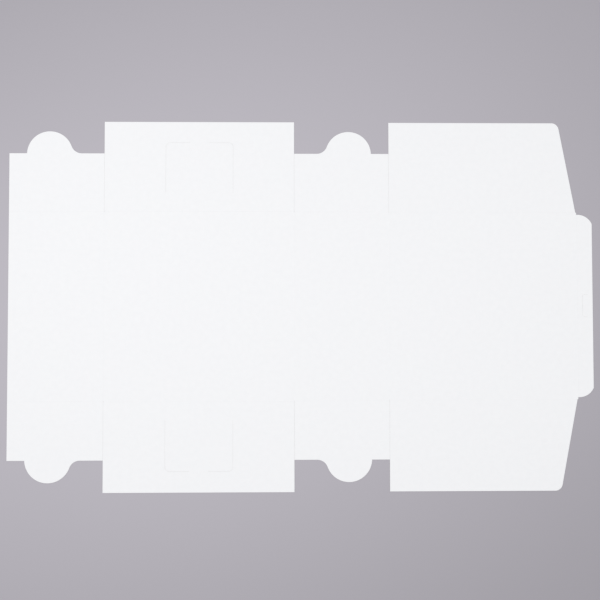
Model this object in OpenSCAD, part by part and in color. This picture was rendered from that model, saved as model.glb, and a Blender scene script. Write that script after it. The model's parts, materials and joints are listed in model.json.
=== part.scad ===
// Bakery box of white paperboard, lying open and flat with its inner face up, as it comes off the die.
// X runs from the front wall, over the bottom panel, rear wall and lid, to the tuck flap. Y runs along
// those creases. The origin is the centre of the bottom panel's underside. Each crease folds up and in.

/* [Box] */
// Inner width of the box, from one side wall to the other
box_width = 254; // [180:1:400]
// Inner depth of the box, from the front wall to the rear wall
box_depth = 254; // [220:1:400]
// Inner height of the box, from the bottom panel to the closed lid
box_height = 127; // [110:1:180]

/* [Board] */
// Thickness of the paperboard
board_t = 0.5; // [0.3:0.05:1]
// Play between two panels that lie side by side in the folded box
fold_clearance = 0.3; // [0.1:0.05:1]
// Width of a knife cut through the board
cut_w = 0.1; // [0.05:0.05:0.5]
// Width of the groove that a pressed crease leaves in the outer face
crease_w = 1.2; // [0.6:0.1:2]
// Depth of that groove
crease_depth = 0.15; // [0.05:0.01:0.25]

/* [Side walls] */
// How far the side walls stop below the closed lid
side_wall_drop = 6.7; // [1:0.1:20]

/* [Corner ears] */
// Reach of an ear, from its crease to its shoulder
ear_reach = 78.5; // [50:0.1:95]
// Height of the middle of the lock tab above the bottom crease
tab_height = 72.7; // [60:0.1:90]
// Radius of the round lock tab
tab_r = 30.7; // [20:0.1:38]
// How far the middle of the tab lies behind the shoulder
tab_sink = 1.1; // [0:0.1:5]
// Radius of the fillet where the tab's lower side runs into the shoulder
tab_fillet_r = 14.5; // [5:0.5:20]

/* [Lock slits in the side walls] */
// How far a lock slit lies beyond the shoulder of the folded ear
slit_play = 3.5; // [1:0.1:8]
// How far the slit runs on below the tab
slit_tail = 17; // [5:0.1:30]
// How far the slit stops short of the tab's upper side
slit_catch = 10.9; // [2:0.1:20]
// Radius of the bend where the slit turns into its leg
slit_bend_r = 6; // [2:0.5:12]
// Board left between the legs of a side wall's two slits
leg_bridge = 25.2; // [10:0.2:50]

/* [Lid side flaps] */
// How far a folded side flap stops above the bottom panel
flap_lift = 5.5; // [2:0.5:20]
// How far the foot of a side flap's front edge stands back from the lid's front edge
flap_setback = 1; // [0:0.1:5]
// How far the front edge of a side flap slants back over its reach
flap_taper = 23; // [5:0.5:60]
// Radius of the side flap's front corner
flap_corner_r = 10; // [3:0.5:30]

/* [Tuck flap] */
// Depth of the tuck flap, from its crease to its free edge
tuck_depth = 21; // [15:0.5:40]
// How far each end of the tuck flap stands in from the end of the lid's front edge
tuck_inset = 2.8; // [1:0.1:10]
// Radius of the tuck flap's round corners
tuck_corner_r = 21; // [5:0.5:25]
// How much of each round the tuck flap's free edge cuts off
tuck_corner_cut = 1.8; // [0:0.1:4]
// Distance of the catch slit from the tuck flap's crease
catch_offset = 7.2; // [3:0.1:10]
// Length of the catch slit along the crease
catch_length = 30.2; // [10:0.2:60]
// Length of the catch slit's two legs, which point to the free edge
catch_leg = 6.5; // [4:0.1:7]
// Radius of the bends where the catch slit turns into its legs
catch_bend_r = 3; // [1:0.5:3.5]

/* [Hidden] */
$fn = 96;
board_white = [0.957, 0.957, 0.965];

// Crease lines, counted from the origin. Each layer of the folded box stands inside the one before it.
layer_step = board_t + fold_clearance;
side_crease_y = box_width / 2;
ear_crease_y = side_crease_y - layer_step;
flap_crease_y = ear_crease_y - layer_step;
bottom_edge_x = box_depth / 2;
lid_crease_x = bottom_edge_x + box_height;
lid_depth = box_depth - layer_step;
tuck_crease_x = lid_crease_x + lid_depth;

// Heights of the walls and reach of the lid's side flaps
front_wall_h = box_height - fold_clearance;
side_wall_h = box_height - side_wall_drop;
flap_reach = box_height - flap_lift;

// Middle of the tab's fillet, which touches the shoulder and the tab
fillet_x = tab_height - sqrt(pow(tab_r + tab_fillet_r, 2) - pow(tab_fillet_r + tab_sink, 2));

// Lock slit, from the box's corner and the bottom crease
slit_x = ear_reach + slit_play;
slit_low = tab_height - tab_r - slit_tail;
slit_top = tab_height + tab_r - slit_catch;
slit_leg_end = (box_depth - leg_bridge) / 2;

// Slant of the side flap's front edge, and how far its rounded corner reaches along both edges
flap_slant = atan(flap_taper / flap_reach);
flap_tip_x = lid_depth - flap_setback - flap_taper;
flap_corner_run = flap_corner_r * tan((90 - flap_slant) / 2);

// Half the length of the tuck flap
tuck_half = flap_crease_y - tuck_inset;

// Points of an arc about a centre, from one angle to another in steps of 15 degrees
function arc(centre, r, from, to) = [
    for (a = [from : sign(to - from) * 15 : to]) centre + r * [cos(a), sin(a)]
];

// Board of the outline that is drawn flat, with its creases pressed in
module board() {
    color(board_white)
        difference() {
            linear_extrude(board_t)
                children();
            creases();
        }
}

// Every crease of the blank, as the wedges that the creasing rules press into its underside
module creases() {
    for (side = [-1, 1]) {
        crease_along_x(-bottom_edge_x, bottom_edge_x, side * side_crease_y);
        crease_along_x(-bottom_edge_x - front_wall_h, -bottom_edge_x, side * ear_crease_y);
        crease_along_x(bottom_edge_x, lid_crease_x, side * ear_crease_y);
        crease_along_x(lid_crease_x, tuck_crease_x, side * flap_crease_y);
    }
    crease_along_y(-bottom_edge_x, ear_crease_y);
    crease_along_y(bottom_edge_x, ear_crease_y);
    crease_along_y(lid_crease_x, flap_crease_y);
    crease_along_y(tuck_crease_x, tuck_half);
}

module crease_along_x(from_x, to_x, y) {
    translate([from_x, y, 0])
        rotate([90, 0, 90])
            linear_extrude(to_x - from_x)
                crease_section();
}

module crease_along_y(x, half_length) {
    translate([x, half_length, 0])
        rotate([90, 0, 0])
            linear_extrude(2 * half_length)
                crease_section();
}

// Section of a creasing rule's wedge: as wide as the crease at the underside, and down from there
module crease_section() {
    polygon([
        [-crease_w, -crease_depth],
        [crease_w, -crease_depth],
        [0, crease_depth]
    ]);
}

// Wall between two creases or edges across the blank, from one X to another
module wall_outline(from_x, to_x, half_length) {
    translate([from_x, -half_length])
        square([to_x - from_x, 2 * half_length]);
}

// Left side wall in place, with a lock slit for each corner's tab
module side_wall_outline() {
    translate([0, side_crease_y])
        difference() {
            translate([cut_w / 2 - bottom_edge_x, 0])
                square([box_depth - cut_w, side_wall_h]);
            for (end = [0, 1])
                mirror([end, 0])
                    translate([-bottom_edge_x, 0])
                        lock_slit();
        }
}

// L-shaped knife cut. X is the distance from the box's corner and Y the height above the bottom crease.
module lock_slit() {
    bend_centre = [slit_x + slit_bend_r, slit_top - slit_bend_r];
    polygon(concat(
        [[slit_x - cut_w / 2, slit_low]],
        arc(bend_centre, slit_bend_r + cut_w / 2, 180, 90),
        [[slit_leg_end, slit_top + cut_w / 2]],
        [[slit_leg_end, slit_top - cut_w / 2]],
        arc(bend_centre, slit_bend_r - cut_w / 2, 90, 180),
        [[slit_x + cut_w / 2, slit_low]]
    ));
}

// Ear with its lock tab. X is the height above the bottom crease, and Y the reach out from the ear's
// own crease. A knife cut parts its lower edge from the side wall.
module ear_outline(top) {
    translate([cut_w / 2, 0])
        square([top - cut_w / 2, ear_reach]);
    translate([tab_height, ear_reach - tab_sink])
        circle(tab_r);
    difference() {
        polygon([
            [fillet_x, ear_reach - tab_fillet_r],
            [tab_height, ear_reach - tab_fillet_r],
            [tab_height, ear_reach - tab_sink],
            [fillet_x, ear_reach + tab_fillet_r]
        ]);
        translate([fillet_x, ear_reach + tab_fillet_r])
            circle(tab_fillet_r);
    }
}

module front_ear_outline() {
    translate([-bottom_edge_x, ear_crease_y])
        mirror([1, 0])
            ear_outline(front_wall_h);
}

// The rear ear has a second knife cut, which parts its upper edge from the lid's side flap
module rear_ear_outline() {
    translate([bottom_edge_x, ear_crease_y])
        ear_outline(box_height - cut_w / 2);
}

// Left side flap of the lid, with its slanting front edge and one rounded corner
module side_flap_outline() {
    translate([lid_crease_x, flap_crease_y]) {
        polygon([
            [cut_w / 2, 0],
            [lid_depth - flap_setback, 0],
            [flap_tip_x + flap_corner_run * sin(flap_slant), flap_reach - flap_corner_run * cos(flap_slant)],
            [flap_tip_x - flap_corner_run, flap_reach],
            [cut_w / 2, flap_reach]
        ]);
        translate([flap_tip_x - flap_corner_run, flap_reach - flap_corner_r])
            circle(flap_corner_r);
    }
}

// Tuck flap with rounded corners and its catch slit
module tuck_outline() {
    translate([tuck_crease_x, 0])
        difference() {
            wall_outline(0, tuck_depth, tuck_half);
            for (end = [0, 1])
                mirror([0, end])
                    translate([tuck_depth + tuck_corner_cut - tuck_corner_r, tuck_half - tuck_corner_r])
                        corner_waste(tuck_corner_r);
            catch_slit();
        }
}

// What rounding takes off a square corner. The origin is the middle of the round, and X and Y point outwards.
module corner_waste(r) {
    difference() {
        square(2 * r);
        circle(r);
    }
}

// Bracket-shaped knife cut: a straight run along the crease, with a bend and a leg at each end
module catch_slit() {
    difference() {
        catch_tongue(cut_w / 2);
        catch_tongue(-cut_w / 2);
    }
}

// Tongue of board inside the catch slit's centre line, grown by a margin everywhere but at its open side
module catch_tongue(margin) {
    bend_x = catch_offset + catch_bend_r;
    bend_y = catch_length / 2 - catch_bend_r;
    leg_x = catch_offset + catch_leg;
    polygon(concat(
        [[leg_x, -catch_length / 2 - margin]],
        [[leg_x, catch_length / 2 + margin]],
        arc([bend_x, bend_y], catch_bend_r + margin, 90, 180),
        arc([bend_x, -bend_y], catch_bend_r + margin, 180, 270)
    ));
}

module bottom_panel() {
    board()
        wall_outline(-bottom_edge_x, bottom_edge_x, side_crease_y);
}

module front_wall() {
    board()
        wall_outline(-bottom_edge_x - front_wall_h, -bottom_edge_x, ear_crease_y);
}

module rear_wall() {
    board()
        wall_outline(bottom_edge_x, lid_crease_x, ear_crease_y);
}

module left_wall() {
    board()
        side_wall_outline();
}

module right_wall() {
    board()
        mirror([0, 1])
            side_wall_outline();
}

module front_left_ear() {
    board()
        front_ear_outline();
}

module front_right_ear() {
    board()
        mirror([0, 1])
            front_ear_outline();
}

module rear_left_ear() {
    board()
        rear_ear_outline();
}

module rear_right_ear() {
    board()
        mirror([0, 1])
            rear_ear_outline();
}

module lid_panel() {
    board()
        wall_outline(lid_crease_x, tuck_crease_x, flap_crease_y);
}

module lid_left_flap() {
    board()
        side_flap_outline();
}

module lid_right_flap() {
    board()
        mirror([0, 1])
            side_flap_outline();
}

module tuck_flap() {
    board()
        tuck_outline();
}

bottom_panel();
front_wall();
rear_wall();
left_wall();
right_wall();
front_left_ear();
front_right_ear();
rear_left_ear();
rear_right_ear();
lid_panel();
lid_left_flap();
lid_right_flap();
tuck_flap();
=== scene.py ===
import json
import math

import bmesh
import bpy
from mathutils import Matrix, Vector


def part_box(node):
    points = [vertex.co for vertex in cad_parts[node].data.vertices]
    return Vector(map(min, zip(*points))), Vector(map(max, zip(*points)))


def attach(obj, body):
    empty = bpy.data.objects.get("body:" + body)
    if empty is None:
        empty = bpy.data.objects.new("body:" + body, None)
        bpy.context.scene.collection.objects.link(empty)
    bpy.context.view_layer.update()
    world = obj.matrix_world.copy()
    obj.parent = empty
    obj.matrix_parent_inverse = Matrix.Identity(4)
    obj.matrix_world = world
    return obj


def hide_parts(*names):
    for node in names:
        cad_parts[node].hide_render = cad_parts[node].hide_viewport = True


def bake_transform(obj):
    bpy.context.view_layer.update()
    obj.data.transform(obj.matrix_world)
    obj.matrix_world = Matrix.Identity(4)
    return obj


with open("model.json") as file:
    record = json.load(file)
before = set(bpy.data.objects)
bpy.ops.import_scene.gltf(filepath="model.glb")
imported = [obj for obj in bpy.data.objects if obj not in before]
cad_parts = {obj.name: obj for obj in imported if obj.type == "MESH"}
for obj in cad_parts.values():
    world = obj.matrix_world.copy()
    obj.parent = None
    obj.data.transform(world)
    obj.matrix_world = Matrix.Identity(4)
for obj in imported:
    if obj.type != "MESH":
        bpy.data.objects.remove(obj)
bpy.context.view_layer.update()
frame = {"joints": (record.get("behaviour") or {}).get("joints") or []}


# Bottom panel. The square in the middle of the sheet: solid white board half a millimetre thick, with a
# smooth clay coat on both faces and a bare core at its cut edges. It lies loose, and the four walls round
# it are the same board beyond its creases.
mm = 0.001
bottom_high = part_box("bottom_panel")[1]
board_t = bottom_high.z
crease_half = 0.6 * mm  # a crease reaches this far to each side of its line
bottom_x = bottom_high.x - crease_half  # the flat of the panel ends where its creases begin
bottom_y = bottom_high.y - crease_half
lip_out = 0.08 * mm  # rounding of a cut edge on the outer face, where the blade goes in
lip_in = 0.04 * mm  # the same on the inner face, where the blade comes out
lip_steps = 3
corner_turn = math.radians(30)  # an outline that turns more than this at a point has a corner there
straight_turn = 1e-4  # and one that turns less than this runs straight on
same_line = 1e-7  # two lines closer than this are one
creases = {joint["child"]: joint for joint in frame["joints"]}  # each under the panel that it carries


def outward_of(joint):
    """Direction on the flat sheet from a crease into the panel that it carries."""
    return Vector((0, 0, 1)).cross(Vector(joint["axis"]))


def runs_along_crease(a, b):
    """True where the board isn't cut between two outline points, but runs on into a neighbour's crease."""
    for joint in creases.values():
        outward = outward_of(joint).xy
        reach_a = (a - Vector(joint["pos_m"]).xy).dot(outward)
        reach_b = (b - Vector(joint["pos_m"]).xy).dot(outward)
        if abs(abs(reach_a) - crease_half) < same_line and abs(reach_a - reach_b) < same_line:
            return True
    return False


def turns_a_corner(points, i):
    """True where an outline turns too sharply at a point to be part of a round."""
    before = points[i] - points[i - 1]
    after = points[(i + 1) % len(points)] - points[i]
    return before.angle(after) > corner_turn


def drawn_in(points, depths):
    """A closed outline moved into the board. Each depth belongs to the edge that starts at that point."""
    moved = []
    for i, p in enumerate(points):
        before = (p - points[i - 1]).normalized()
        after = (points[(i + 1) % len(points)] - p).normalized()
        in_before = Vector((-before.y, before.x))
        in_after = Vector((-after.y, after.x))
        depth_before, depth_after = depths[i - 1], depths[i]
        turn = in_before.cross(in_after)
        if abs(turn) < straight_turn:
            moved.append(p + in_after * max(depth_before, depth_after))
        else:
            moved.append(p + (in_before * depth_after - in_after * depth_before).orthogonal() / turn)
    return moved


def lip_profile():
    """Steps up a cut edge, as (depth into the board, height): a round, a straight and a round again."""
    turns = [math.pi / 2 * k / lip_steps for k in range(lip_steps + 1)]
    outer = [(lip_out * (1 - math.sin(a)), lip_out * (1 - math.cos(a))) for a in turns]
    inner = [(lip_in * (1 - math.cos(a)), board_t - lip_in * (1 - math.sin(a))) for a in turns]
    return outer + inner


def cut_board(outline, slits=()):
    """Board cut to an outline, with knife slits in it, as a closed mesh. Material 0 is its faces and 1 its
    edges. The board lies on the left of each line: outlines run anticlockwise, and slits clockwise."""
    bm = bmesh.new()
    outer_face, inner_face = [], []
    for contour in (outline, *slits):
        points = [Vector(p) for p in contour]
        n = len(points)
        is_cut = [not runs_along_crease(points[i], points[(i + 1) % n]) for i in range(n)]
        rings = []
        for depth, z in lip_profile():
            ring = drawn_in(points, [depth * cut for cut in is_cut])
            rings.append([bm.verts.new((p.x, p.y, z)) for p in ring])
        for low, high in zip(rings, rings[1:]):
            for i in range(n):
                j = (i + 1) % n
                bm.faces.new((low[i], low[j], high[j], high[i])).material_index = 1
                if turns_a_corner(points, i):
                    bm.edges.get((low[i], high[i])).smooth = False
        for face_border, ring in ((outer_face, rings[0]), (inner_face, rings[-1])):
            face_border += [bm.edges.get((ring[i], ring[(i + 1) % n])) for i in range(n)]
    for face_border in (outer_face, inner_face):
        for edge in face_border:
            edge.smooth = False
        bmesh.ops.triangle_fill(bm, use_beauty=True, edges=face_border, normal=(0, 0, 1))
    bmesh.ops.recalc_face_normals(bm, faces=bm.faces[:])
    return bm


def coated_board(bm, name):
    """The mesh as a piece of the sheet with its two finishes. It keeps where each point lies on the flat
    sheet, so that the grain bends with the board."""
    mesh = bpy.data.meshes.new(name)
    bm.to_mesh(mesh)
    bm.free()
    mesh.shade_smooth()
    place = mesh.attributes.new("sheet_place", "FLOAT_VECTOR", "POINT")
    place.data.foreach_set("vector", [c for v in mesh.vertices for c in v.co])
    mesh.materials.append(coated_face)
    mesh.materials.append(cut_edge)
    piece = bpy.data.objects.new(name, mesh)
    bpy.context.scene.collection.objects.link(piece)
    piece.modifiers.new("crisp_lips", "WEIGHTED_NORMAL").keep_sharp = True
    return piece


def new_material(name):
    """A new finish with its plain shader, as (material, its nodes, their links)."""
    material = bpy.data.materials.new(name)
    material.use_nodes = True
    return material, material.node_tree.nodes, material.node_tree.links


def fibre_pattern(nodes, links, cells, detail, squeeze=(1, 1, 1)):
    """Noise laid out on the flat sheet, with so many cells to the metre. A squeeze over 1 packs the cells
    closer along an axis, and one under 1 draws them out."""
    place = nodes.new("ShaderNodeAttribute")
    place.attribute_name = "sheet_place"
    squeezed = nodes.new("ShaderNodeMapping")
    squeezed.inputs["Scale"].default_value = squeeze
    links.new(place.outputs["Vector"], squeezed.inputs["Vector"])
    pattern = nodes.new("ShaderNodeTexNoise")
    pattern.inputs["Scale"].default_value = cells
    pattern.inputs["Detail"].default_value = detail
    links.new(squeezed.outputs["Vector"], pattern.inputs["Vector"])
    return pattern.outputs["Fac"]


def board_tint(nodes, links, pattern, dark, light):
    """Colour that runs from dark to light as the pattern goes from a third to two thirds."""
    ramp = nodes.new("ShaderNodeValToRGB")
    stops = ramp.color_ramp.elements
    stops[0].position, stops[1].position = 0.33, 0.67
    stops[0].color, stops[1].color = dark, light
    links.new(pattern, ramp.inputs["Fac"])
    return ramp.outputs["Color"]


def satin(nodes, links, pattern, smoothest, roughest):
    """Roughness that runs from the smoothest value to the roughest with the pattern."""
    gloss = nodes.new("ShaderNodeMapRange")
    gloss.inputs["To Min"].default_value = smoothest
    gloss.inputs["To Max"].default_value = roughest
    links.new(pattern, gloss.inputs["Value"])
    return gloss.outputs["Result"]


def relief(nodes, links, pattern, depth, over=None):
    """Surface raised by the pattern, over a coarser relief where one is given."""
    raised = nodes.new("ShaderNodeBump")
    raised.inputs["Distance"].default_value = depth
    links.new(pattern, raised.inputs["Height"])
    if over is not None:
        links.new(over, raised.inputs["Normal"])
    return raised.outputs["Normal"]


def make_coated_face():
    """Clay coat: even white, with faint clouds of fibre under it, a fine fibre grain and a satin gloss."""
    coat_white = (0.907, 0.911, 0.928, 1)
    coat_cool = (0.893, 0.898, 0.916, 1)
    material, nodes, links = new_material("coated_face")
    shader = nodes["Principled BSDF"]
    clouds = fibre_pattern(nodes, links, cells=140, detail=4)
    fibres = fibre_pattern(nodes, links, cells=2600, detail=3, squeeze=(0.35, 1, 1))
    rolled = fibre_pattern(nodes, links, cells=28, detail=2)
    waves = relief(nodes, links, rolled, depth=0.05 * mm)
    links.new(board_tint(nodes, links, clouds, coat_cool, coat_white), shader.inputs["Base Color"])
    links.new(satin(nodes, links, fibres, smoothest=0.46, roughest=0.6), shader.inputs["Roughness"])
    links.new(relief(nodes, links, fibres, depth=0.004 * mm, over=waves), shader.inputs["Normal"])
    return material


def make_cut_edge():
    """Cut edge: the bare core between the coats, its fibres lying in plies along the board."""
    core_white = (0.80, 0.785, 0.75, 1)
    core_grey = (0.66, 0.645, 0.61, 1)
    material, nodes, links = new_material("cut_edge")
    shader = nodes["Principled BSDF"]
    plies = fibre_pattern(nodes, links, cells=900, detail=4, squeeze=(1, 1, 14))
    links.new(board_tint(nodes, links, plies, core_grey, core_white), shader.inputs["Base Color"])
    shader.inputs["Roughness"].default_value = 0.9
    shader.inputs["Specular IOR Level"].default_value = 0.25
    links.new(relief(nodes, links, plies, depth=0.02 * mm), shader.inputs["Normal"])
    return material


def both_sides(left_half):
    """Outline that is the same on both sides of the sheet's long centre line, from its left half."""
    return [*left_half, *[(x, -y) for x, y in reversed(left_half)]]


coated_face = make_coated_face()
cut_edge = make_cut_edge()
bottom_outline = both_sides([(bottom_x, bottom_y), (-bottom_x, bottom_y)])
bottom = coated_board(cut_board(bottom_outline), "bottom_board")
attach(bottom, "bottom_panel")
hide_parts("bottom_panel")


# Front wall and rear wall. Plain panels of the same board, joined to the bottom by the creases along their
# lower edges. A creasing rule has pressed a groove into the outer face there, and raised a soft bead on the
# inner one.
front_low, front_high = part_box("front_wall")
rear_low, rear_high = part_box("rear_wall")
front_crease_x = front_high.x
rear_crease_x = rear_low.x
lid_crease_x = rear_high.x
ear_crease_y = front_high.y
flap_crease_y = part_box("lid_panel")[1].y
bead_height = 0.10 * mm
groove_depth = 0.12 * mm
crease_columns = 12  # columns of mesh across a crease, narrow enough for it to bend round
on_column = 1e-8  # a point this close to a column's border isn't split off again


def press_crease(bm, joint):
    """Splits the board into narrow columns along a crease, and presses the crease's section into them."""
    middle, outward = Vector(joint["pos_m"]), outward_of(joint)
    for k in range(1, crease_columns + 1):
        border = middle + outward * (crease_half * (2 * k / crease_columns - 1))
        geometry = bm.verts[:] + bm.edges[:] + bm.faces[:]
        bmesh.ops.bisect_plane(bm, geom=geometry, dist=on_column, plane_co=border, plane_no=outward)
    for v in bm.verts:
        reach = (v.co - middle).dot(outward)
        if abs(reach) < crease_half:
            swell = (1 + math.cos(math.pi * reach / crease_half)) / 2
            share = v.co.z / board_t
            v.co.z += swell * (bead_height * share + groove_depth * (1 - share))


def fold_panel(node, outline, slits=()):
    """A panel with the crease that carries it, cut and pressed, in place of its part."""
    joint = creases[node]
    bm = cut_board(outline, slits)
    press_crease(bm, joint)
    piece = coated_board(bm, node + "_board")
    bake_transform(piece)
    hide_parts(node)


fold_panel("front_wall", both_sides([
    (front_crease_x + crease_half, bottom_y),
    (front_crease_x, ear_crease_y),
    (front_crease_x - crease_half, ear_crease_y),
    (front_crease_x - crease_half, ear_crease_y - crease_half),
    (front_low.x, ear_crease_y - crease_half),
]))
fold_panel("rear_wall", both_sides([
    (lid_crease_x - crease_half, flap_crease_y),
    (lid_crease_x, flap_crease_y),
    (lid_crease_x, ear_crease_y),
    (lid_crease_x - crease_half, ear_crease_y),
    (lid_crease_x - crease_half, ear_crease_y - crease_half),
    (rear_crease_x + crease_half, ear_crease_y - crease_half),
    (rear_crease_x + crease_half, ear_crease_y),
    (rear_crease_x, ear_crease_y),
    (rear_crease_x - crease_half, bottom_y),
]))


# Side walls. The same board, creased to the bottom and cut free of the ears at both ends. Each has two
# L-shaped slits, cut but not punched out, where the ears' round tabs lock when the box is set up.
blade_half = 0.025 * mm  # half of the gap that stays open where the die's blade has passed
side_low, side_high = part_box("left_wall")
side_x = bottom_high.x - blade_half
ear_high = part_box("front_left_ear")[1]
tab_r = 30.7 * mm  # radius of the round tab that ends each ear
tab_sink = 1.1 * mm  # the middle of the tab lies this far behind the ear's shoulder
tab_height = 72.7 * mm  # and this far above the bottom's crease
shoulder_y = ear_high.y - tab_r + tab_sink
slit_play = 3.5 * mm  # a slit lies this far beyond the shoulder of the folded ear
slit_tail = 17 * mm  # it runs on this far below the tab
slit_catch = 10.9 * mm  # and stops this far short of the tab's upper side
slit_bend_r = 6 * mm
leg_bridge = 25.2 * mm  # board left between the legs of the two slits
slit_x = bottom_high.x - (shoulder_y - ear_crease_y) - slit_play
slit_low_y = side_low.y + tab_height - tab_r - slit_tail
slit_top_y = side_low.y + tab_height + tab_r - slit_catch


def arc(centre_x, centre_y, r, start, end, step=4):
    """Points of an arc from one angle to another, about a step apart, in degrees."""
    count = max(2, round(abs(end - start) / step))
    angles = [math.radians(start + (end - start) * k / count) for k in range(count + 1)]
    return [(centre_x + r * math.cos(a), centre_y + r * math.sin(a)) for a in angles]


def clockwise(points):
    """The points in clockwise order, the order in which a slit has the board on its left."""
    area = sum(a[0] * b[1] - b[0] * a[1] for a, b in zip(points, [*points[1:], points[0]]))
    return list(points) if area < 0 else list(reversed(points))


def knife_slit(path):
    """Outline of a slit along a line of points, as wide as the gap that the blade leaves."""
    points = [Vector(p) for p in path]
    one_side, other_side = [], []
    for i, p in enumerate(points):
        ahead = (points[min(i + 1, len(points) - 1)] - points[max(i - 1, 0)]).normalized()
        across = Vector((-ahead.y, ahead.x)) * blade_half
        one_side.append(p + across)
        other_side.append(p - across)
    return clockwise([*one_side, *reversed(other_side)])


def mirrored(points):
    """A left outline or slit as it lies on the right side, with the board still on the left of its line."""
    return [(x, -y) for x, y in reversed(points)]


side_outline = [(side_x, bottom_y), (side_x, side_high.y), (-side_x, side_high.y), (-side_x, bottom_y)]
slit_bend = arc(slit_x - slit_bend_r, slit_top_y - slit_bend_r, slit_bend_r, 0, 90, step=15)
slit_path = [(slit_x, slit_low_y), *slit_bend, (leg_bridge / 2, slit_top_y)]
lock_slits = [knife_slit([(end * x, y) for x, y in slit_path]) for end in (-1, 1)]
fold_panel("left_wall", side_outline, lock_slits)
fold_panel("right_wall", mirrored(side_outline), [mirrored(slit) for slit in lock_slits])


# Corner ears. The same board, creased to both ends of the front wall and the rear wall, and folded in
# behind the side walls. A round tab stands on each ear's shoulder: square to it above, and run into it by a
# fillet below.
tab_fillet_r = 14.5 * mm
fillet_rise = tab_fillet_r + tab_sink  # the middle of the fillet lies this far out from that of the tab
fillet_run = math.sqrt((tab_r + tab_fillet_r) ** 2 - fillet_rise**2)  # and this far below it
fillet_angle = math.degrees(math.atan2(fillet_rise, fillet_run))
tab_root_angle = math.degrees(math.asin(tab_sink / tab_r))
front_wall_h = front_crease_x - front_low.x
rear_wall_h = lid_crease_x - rear_crease_x


def ear_outline(foot_x, way, top, crease_top):
    """Left ear on the wall that rises from foot_x, the given way along X. Its upper edge is at the height
    top, and its crease ends at the height crease_top."""
    fillet_x = tab_height - fillet_run
    points = [
        (crease_half, ear_crease_y - crease_half),
        (crease_top, ear_crease_y - crease_half),
        *([(crease_top, ear_crease_y)] if crease_top < top else []),
        (top, ear_crease_y),
        (top, shoulder_y),
        *arc(tab_height, shoulder_y - tab_sink, tab_r, tab_root_angle, 180 - fillet_angle),
        *arc(fillet_x, shoulder_y + tab_fillet_r, tab_fillet_r, -fillet_angle, -90)[1:],
        (blade_half, shoulder_y),
        (blade_half, ear_crease_y),
        (crease_half, ear_crease_y),
    ]
    outline = [(foot_x + way * x, y) for x, y in points]
    return outline if way > 0 else list(reversed(outline))


front_ear = ear_outline(front_crease_x, -1, front_wall_h, front_wall_h)
rear_ear = ear_outline(rear_crease_x, 1, rear_wall_h - blade_half, rear_wall_h - crease_half)
for wall, ear in (("front", front_ear), ("rear", rear_ear)):
    fold_panel(wall + "_left_ear", ear)
    fold_panel(wall + "_right_ear", mirrored(ear))


# Lid. A plain panel of the same board, creased to the top of the rear wall. On each side it stands in by a
# little more than the board's thickness, so that its own flaps pass inside the ears.
tuck_low, tuck_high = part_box("tuck_flap")
tuck_crease_x = tuck_low.x
fold_panel("lid_panel", both_sides([
    (tuck_crease_x - crease_half, tuck_high.y),
    (tuck_crease_x, tuck_high.y),
    (tuck_crease_x, flap_crease_y - crease_half),
    (lid_crease_x + crease_half, flap_crease_y - crease_half),
    (lid_crease_x + crease_half, flap_crease_y),
    (lid_crease_x - crease_half, flap_crease_y),
]))


# Lid side flaps. The same board, creased to the lid's two sides, and dropped inside the ears when the box
# is shut. The front edge slants back so that it clears the front wall, and ends in a rounded corner. The
# rear corner is left square.
flap_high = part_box("lid_left_flap")[1]
flap_setback = 1 * mm  # the foot of the front edge stands this far back from the lid's front edge
flap_taper = 23 * mm  # the front edge slants back this far over the flap's reach
flap_corner_r = 10 * mm
flap_slant = math.degrees(math.atan2(flap_taper, flap_high.y - flap_crease_y))
flap_corner_run = flap_corner_r * math.tan(math.radians(90 - flap_slant) / 2)
flap_foot_x = tuck_crease_x - flap_setback
flap_corner_x = flap_foot_x - flap_taper - flap_corner_run
side_flap = [
    (lid_crease_x + crease_half, flap_crease_y - crease_half),
    (tuck_crease_x, flap_crease_y - crease_half),
    (tuck_crease_x, flap_crease_y),
    (flap_foot_x, flap_crease_y),
    *arc(flap_corner_x, flap_high.y - flap_corner_r, flap_corner_r, flap_slant, 90, step=6),
    (lid_crease_x + blade_half, flap_high.y),
    (lid_crease_x + blade_half, flap_crease_y),
    (lid_crease_x + crease_half, flap_crease_y),
]
fold_panel("lid_left_flap", side_flap)
fold_panel("lid_right_flap", mirrored(side_flap))


# Tuck flap. The same board, creased to the lid's front edge as a shallow flap that slips behind the front
# wall. Its corners are rounded, and a small bracket-shaped knife slit at its middle opens towards the free
# edge.
tuck_corner_r = 21 * mm
tuck_corner_cut = 1.8 * mm  # the free edge cuts this much off each round
tuck_corner_x = tuck_high.x + tuck_corner_cut - tuck_corner_r
tuck_corner_start = math.degrees(math.acos(1 - tuck_corner_cut / tuck_corner_r))
tuck_corner = arc(tuck_corner_x, tuck_high.y - tuck_corner_r, tuck_corner_r, tuck_corner_start, 90)
catch_offset = 7.2 * mm  # from the flap's crease to the slit's back
catch_leg = 6.5 * mm
catch_length = 30.2 * mm
catch_bend_r = 3 * mm
catch_x = tuck_crease_x + catch_offset
catch_y = catch_length / 2
catch_bend_x = catch_x + catch_bend_r
catch_bend_y = catch_y - catch_bend_r
catch_slit = knife_slit([
    (catch_x + catch_leg, catch_y),
    *arc(catch_bend_x, catch_bend_y, catch_bend_r, 90, 180, step=15),
    *arc(catch_bend_x, -catch_bend_y, catch_bend_r, 180, 270, step=15),
    (catch_x + catch_leg, -catch_y),
])
tuck_outline = both_sides([*tuck_corner, (tuck_crease_x - crease_half, tuck_high.y)])
fold_panel("tuck_flap", tuck_outline, [catch_slit])
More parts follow.
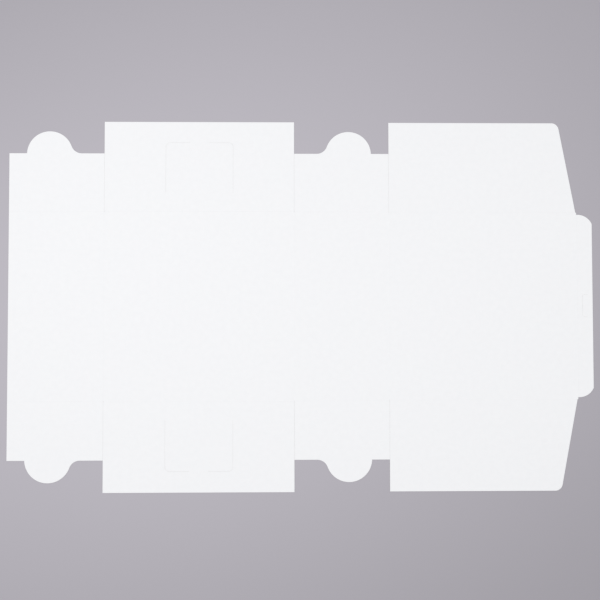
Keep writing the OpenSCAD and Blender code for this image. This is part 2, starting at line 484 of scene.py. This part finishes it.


# Surface under the box. A wide, smooth sheet of matt grey backdrop card, laid flat. A painted pool of light
# makes it lightest under the middle of the box, and painted shade greys it off evenly towards the edges of
# the view. It pales again far outside it.
card_half = 40.0  # so wide that its edge doesn't show
card_drop = 0.1 * mm  # keeps it just clear of the sheet's underside
# Painted light: the card's grey is painted lighter under the box and darker towards the view's edges, as a
# pool of lamp light falls.
painted_pool_grey = (0.5195, 0.4985, 0.5457, 1)
painted_falloff_grey = (0.3117, 0.2991, 0.3274, 1)
card_far_grey = (0.625, 0.6, 0.656, 1)
painted_pool_middle = (-0.05, 0.014, 0.0)
painted_pool_turn = (0.0, 0.0, math.radians(14.3))
painted_pool_spread = (0.868, 0.554, 1.0)  # half axes of the painted pool of light
pale_start, pale_end = 0.6, 4.5  # distances from the origin over which the card pales again


def blend_colour(nodes, links, amount, low, high):
    """Mix of two colours by an amount, each one a fixed colour or another node's output."""
    mix = nodes.new("ShaderNodeMix")
    mix.data_type = "RGBA"
    links.new(amount, mix.inputs["Factor"])
    # The node's sockets for colours come after those for numbers and vectors.
    low_socket, high_socket = mix.inputs[6], mix.inputs[7]
    mixed_socket = mix.outputs[2]
    for socket, colour in ((low_socket, low), (high_socket, high)):
        if isinstance(colour, tuple):
            socket.default_value = colour
        else:
            links.new(colour, socket)
    return mixed_socket


def make_backdrop_card():
    """Matt grey card with a painted pool of light: a turned oval lighter patch, whose edge falls off like a
    bell curve into painted shade.
    """
    material, nodes, links = new_material("backdrop_card")
    shader = nodes["Principled BSDF"]
    place = nodes.new("ShaderNodeNewGeometry").outputs["Position"]
    painted_pool = nodes.new("ShaderNodeMapping")
    painted_pool.vector_type = "TEXTURE"
    painted_pool.inputs["Location"].default_value = painted_pool_middle
    painted_pool.inputs["Rotation"].default_value = painted_pool_turn
    painted_pool.inputs["Scale"].default_value = painted_pool_spread
    links.new(place, painted_pool.inputs["Vector"])
    squared = nodes.new("ShaderNodeVectorMath")
    squared.operation = "DOT_PRODUCT"
    links.new(painted_pool.outputs["Vector"], squared.inputs[0])
    links.new(painted_pool.outputs["Vector"], squared.inputs[1])
    fall = nodes.new("ShaderNodeMath")
    fall.operation = "POWER"
    fall.inputs[0].default_value = 1 / math.e
    links.new(squared.outputs["Value"], fall.inputs[1])
    distance = nodes.new("ShaderNodeVectorMath")
    distance.operation = "LENGTH"
    links.new(place, distance.inputs[0])
    paling = nodes.new("ShaderNodeMapRange")
    paling.inputs["From Min"].default_value = pale_start
    paling.inputs["From Max"].default_value = pale_end
    links.new(distance.outputs["Value"], paling.inputs["Value"])
    # The painted pool of light: light grey under the box, falling off to a painted darker grey towards the
    # view's edges.
    near = blend_colour(nodes, links, fall.outputs["Value"], painted_falloff_grey, painted_pool_grey)
    grey = blend_colour(nodes, links, paling.outputs["Result"], near, card_far_grey)
    links.new(grey, shader.inputs["Base Color"])
    shader.inputs["Roughness"].default_value = 0.85
    shader.inputs["Specular IOR Level"].default_value = 0.2
    return material


card_mesh = bpy.data.meshes.new("floor")
card_corners = [(x * card_half, y * card_half, -card_drop) for x, y in ((-1, -1), (1, -1), (1, 1), (-1, 1))]
card_mesh.from_pydata(card_corners, [], [(0, 1, 2, 3)])
card_mesh.materials.append(make_backdrop_card())
floor = bpy.data.objects.new("floor", card_mesh)
bpy.context.scene.collection.objects.link(floor)


# Studio light. Two large square softboxes of white cloth hang high on the left and right, the left one the
# stronger, and an even pale light fills in from all round. That light looks as grey as the far card.
fill_strength = 0.535
fill_look = (0.345, 0.331, 0.362, 1)
softbox_side = 1.2


def make_fill_light():
    """White light from all round, which the camera, gloss and glass see as an even grey instead."""
    world = bpy.data.worlds.new("studio")
    world.use_nodes = True
    nodes, links = world.node_tree.nodes, world.node_tree.links
    cast = nodes["Background"]
    cast.inputs["Color"].default_value = (1, 1, 1, 1)
    cast.inputs["Strength"].default_value = fill_strength
    seen = nodes.new("ShaderNodeBackground")
    seen.inputs["Color"].default_value = fill_look
    ray = nodes.new("ShaderNodeLightPath")
    is_seen = ray.outputs["Is Camera Ray"]
    for kind in ("Is Glossy Ray", "Is Transmission Ray"):
        either = nodes.new("ShaderNodeMath")
        either.operation = "MAXIMUM"
        links.new(is_seen, either.inputs[0])
        links.new(ray.outputs[kind], either.inputs[1])
        is_seen = either.outputs["Value"]
    fill = nodes.new("ShaderNodeMixShader")
    links.new(is_seen, fill.inputs["Fac"])
    links.new(cast.outputs["Background"], fill.inputs[1])
    links.new(seen.outputs["Background"], fill.inputs[2])
    links.new(fill.outputs["Shader"], nodes["World Output"].inputs["Surface"])
    return world


def hang_softbox(name, place, target, power):
    """A square softbox of so many watts that hangs at a place and points at a target."""
    lamp = bpy.data.lights.new(name, "AREA")
    lamp.shape = "SQUARE"
    lamp.size = softbox_side
    lamp.energy = power
    softbox = bpy.data.objects.new(name, lamp)
    softbox.location = place
    softbox.rotation_mode = "QUATERNION"
    softbox.rotation_quaternion = (Vector(target) - Vector(place)).to_track_quat("-Z", "Y")
    bpy.context.scene.collection.objects.link(softbox)


bpy.context.scene.world = make_fill_light()
hang_softbox("left_softbox", place=(-0.75, 0.3, 2.8), target=(0, 0, 0), power=29)
hang_softbox("right_softbox", place=(1.2, 0.15, 2.8), target=(0.2, 0, 0), power=16)


# Camera. It hangs high over the sheet and looks down almost square to it, as the photograph was taken, and
# its lens is slightly long. The front wall is on the left of its view and the tuck flap on the right.
camera_place = Vector((0.1085, -0.0450, 1.3363))
camera_target = Vector((0.1346, 0.0079, 0))
camera_up = Vector((0.00076, 0.99922, 0.0396))
lens = bpy.data.cameras.new("camera")
lens.sensor_width = 36
lens.lens = 60
ahead = (camera_target - camera_place).normalized()
right = ahead.cross(camera_up).normalized()
turned = Matrix((right, right.cross(ahead), -ahead)).transposed().to_4x4()
camera = bpy.data.objects.new("camera", lens)
camera.matrix_world = Matrix.Translation(camera_place) @ turned
bpy.context.scene.collection.objects.link(camera)
bpy.context.scene.camera = camera
bpy.context.scene.view_settings.view_transform = "Standard"
